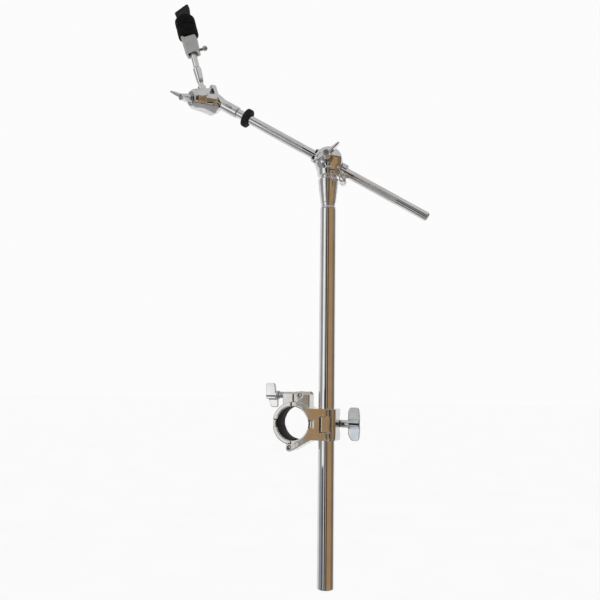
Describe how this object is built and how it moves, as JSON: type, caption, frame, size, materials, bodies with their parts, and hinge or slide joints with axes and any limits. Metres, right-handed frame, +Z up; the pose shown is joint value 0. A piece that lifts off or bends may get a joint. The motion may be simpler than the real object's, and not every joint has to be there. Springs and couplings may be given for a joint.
{
  "type": "cymbal boom arm with rack clamp",
  "caption": "Chrome cymbal boom arm with a tilting cymbal mount, on an upright tube held by a hinged clamp that grips a drum rack tube.",
  "frame": {"origin": "centre of the clamp ring that grips the rack tube, halfway along its bore", "axes": "+Z up along the upright tube, +X from the ring towards the upright tube, Y along the rack tube; the wing nut of the brake is on the -Y side"},
  "size_m": [0.3142, 0.109, 0.7118],
  "materials": {
    "bright_chrome": "mirror chrome plate over steel and zinc castings",
    "satin_casting": "satin silver over a die casting",
    "grey_casting": "matte grey over a die casting",
    "plain_steel": "zinc plated, slightly dull",
    "black_rubber": "matte black rubber",
    "black_felt": "pressed wool felt",
    "dark_plastic": "moulded nylon"
  },
  "bodies": {
    "clamp": {"clamp_saddle": "satin_casting", "saddle_liner": "black_rubber", "ring_hinge_pin": "plain_steel", "ring_bolt_pin": "plain_steel", "gate_hinge_pin": "plain_steel", "pole_stud": "plain_steel"},
    "jaw": {"ring_jaw": "satin_casting", "jaw_liner": "black_rubber"},
    "swing_bolt": {"ring_bolt": "plain_steel"},
    "ring_nut_washer": {"ring_washer": "plain_steel"},
    "ring_nut": {"ring_wing_nut": "bright_chrome"},
    "gate": {"pole_gate": "satin_casting"},
    "gate_nut_washer": {"pole_washer": "plain_steel"},
    "gate_nut": {"pole_wing_nut": "bright_chrome"},
    "pole": {"pole_tube": "bright_chrome"},
    "brake": {"brake_base": "bright_chrome", "brake_spring": "plain_steel"},
    "head": {"brake_head": "bright_chrome", "brake_eye_bolt": "plain_steel"},
    "brake_nut_washer": {"brake_washer": "plain_steel"},
    "brake_nut": {"brake_wing_nut": "bright_chrome"},
    "arm_lock": {"arm_lock_screw": "bright_chrome"},
    "arm": {"boom_arm": "bright_chrome"},
    "memory_ring": {"arm_ring": "black_rubber"},
    "tilter": {"tilter_base": "bright_chrome", "sleeve_pin": "plain_steel", "tilter_bolt": "plain_steel", "tilter_spring": "plain_steel"},
    "cymbal_post": {"tilter_head": "bright_chrome", "cymbal_rod": "bright_chrome"},
    "tilter_nut_washer": {"tilter_washer": "plain_steel"},
    "tilter_nut": {"tilter_wing_nut": "bright_chrome"},
    "stopper": {"stopper_block": "grey_casting", "lower_felt": "black_felt", "cymbal_sleeve": "dark_plastic"},
    "stopper_lock": {"stopper_screw": "plain_steel"},
    "felt_top": {"upper_felt": "black_felt"},
    "cymbal_washer": {"top_washer": "black_rubber"},
    "cymbal_nut": {"cymbal_wing_nut": "dark_plastic"}
  },
  "joints": [
    {"name": "jaw_hinge", "type": "hinge", "parent": "clamp", "child": "jaw", "pos_m": [-0.003, 0, -0.0275], "axis": [0, -1, 0], "range_deg": [0, 50]},
    {"name": "bolt_swing", "type": "hinge", "parent": "clamp", "child": "swing_bolt", "pos_m": [0.007, 0, 0.032], "axis": [0, 1, 0], "range_deg": [0, 90]},
    {"name": "ring_nut_travel", "type": "slide", "parent": "swing_bolt", "child": "ring_nut_washer", "axis": [1, 0, 0], "range_m": [0, 0.00626]},
    {"name": "ring_nut_spin", "type": "hinge", "parent": "ring_nut_washer", "child": "ring_nut", "pos_m": [-0.022, 0, 0.032], "axis": [1, 0, 0], "range_deg": [0, 1800]},
    {"name": "gate_hinge", "type": "hinge", "parent": "clamp", "child": "gate", "pos_m": [0.041, -0.0119, 0], "axis": [0, 0, -1], "range_deg": [0, 4.1]},
    {"name": "gate_nut_travel", "type": "slide", "parent": "clamp", "child": "gate_nut_washer", "axis": [1, 0, 0], "range_m": [0, 0.00251]},
    {"name": "gate_nut_spin", "type": "hinge", "parent": "gate_nut_washer", "child": "gate_nut", "pos_m": [0.0463, 0.0136, 0], "axis": [1, 0, 0], "range_deg": [0, 720]},
    {"name": "pole_height", "type": "slide", "parent": "clamp", "child": "pole", "axis": [0, 0, 1], "range_m": [-0.16, 0.15]},
    {"name": "boom_swing", "type": "hinge", "parent": "pole", "child": "brake", "pos_m": [0.037, 0, 0.254], "axis": [0, 0, 1], "continuous": true},
    {"name": "brake_tilt", "type": "hinge", "parent": "brake", "child": "head", "pos_m": [0.037, 0, 0.314], "axis": [-0.2079, 0.9781, 0], "range_deg": [-70, 0]},
    {"name": "brake_nut_travel", "type": "slide", "parent": "head", "child": "brake_nut_washer", "axis": [0.2079, -0.9781, 0], "range_m": [0, 0.00251]},
    {"name": "brake_nut_spin", "type": "hinge", "parent": "brake_nut_washer", "child": "brake_nut", "pos_m": [0.04051, -0.01653, 0.314], "axis": [0.2079, -0.9781, 0], "range_deg": [0, 720]},
    {"name": "arm_lock_spin", "type": "hinge", "parent": "head", "child": "arm_lock", "pos_m": [0.05356, 0.00352, 0.29111], "axis": [0.2079, -0.9781, 0], "range_deg": [0, 360]},
    {"name": "arm_slide", "type": "slide", "parent": "head", "child": "arm", "axis": [0.8384, 0.1782, -0.515], "range_m": [-0.09, 0.06]},
    {"name": "memory_ring_slide", "type": "slide", "parent": "arm", "child": "memory_ring", "axis": [0.8384, 0.1782, -0.515], "range_m": [-0.01, 0.03]},
    {"name": "arm_turn", "type": "hinge", "parent": "arm", "child": "tilter", "pos_m": [-0.09001, -0.02086, 0.39126], "axis": [0.8384, 0.1782, -0.515], "range_deg": [-90, 90]},
    {"name": "cymbal_tilt", "type": "hinge", "parent": "tilter", "child": "cymbal_post", "pos_m": [-0.11716, -0.03277, 0.3995], "axis": [0.4597, 0.8702, 0.1772], "range_deg": [-80, 80]},
    {"name": "tilter_nut_travel", "type": "slide", "parent": "tilter", "child": "tilter_nut_washer", "axis": [-0.4597, -0.8702, -0.1772], "range_m": [0, 0.00251]},
    {"name": "tilter_nut_spin", "type": "hinge", "parent": "tilter_nut_washer", "child": "tilter_nut", "pos_m": [-0.12718, -0.05174, 0.39564], "axis": [-0.4597, -0.8702, -0.1772], "range_deg": [0, 720]},
    {"name": "stopper_slide", "type": "slide", "parent": "cymbal_post", "child": "stopper", "axis": [-0.2647, -0.0563, 0.9627], "range_m": [-0.015, 0]},
    {"name": "stopper_lock_spin", "type": "hinge", "parent": "stopper", "child": "stopper_lock", "pos_m": [-0.12235, -0.03335, 0.46971], "axis": [0.9335, 0.2355, 0.2704], "range_deg": [0, 360]},
    {"name": "felt_lift", "type": "slide", "parent": "cymbal_post", "child": "felt_top", "axis": [-0.2647, -0.0563, 0.9627], "range_m": [0, 0.00601]},
    {"name": "cymbal_nut_travel", "type": "slide", "parent": "cymbal_post", "child": "cymbal_washer", "axis": [-0.2647, -0.0563, 0.9627], "range_m": [0, 0.00751]},
    {"name": "cymbal_nut_spin", "type": "hinge", "parent": "cymbal_washer", "child": "cymbal_nut", "pos_m": [-0.14839, -0.03941, 0.5131], "axis": [-0.2647, -0.0563, 0.9627], "range_deg": [0, 2160]}
  ],
  "couplings": [
    {"joint": "bolt_swing", "follows": "jaw_hinge", "ratio": 1.8},
    {"joint": "ring_nut_travel", "follows": "ring_nut_spin", "m_per_rad": 0.00019894},
    {"joint": "gate_nut_travel", "follows": "gate_nut_spin", "m_per_rad": 0.00019894},
    {"joint": "gate_hinge", "follows": "gate_nut_spin", "ratio": 0.00565},
    {"joint": "brake_nut_travel", "follows": "brake_nut_spin", "m_per_rad": 0.00019894},
    {"joint": "tilter_nut_travel", "follows": "tilter_nut_spin", "m_per_rad": 0.00019894},
    {"joint": "cymbal_nut_travel", "follows": "cymbal_nut_spin", "m_per_rad": 0.00019894},
    {"joint": "felt_lift", "follows": "cymbal_nut_spin", "m_per_rad": 0.00015915}
  ]
}
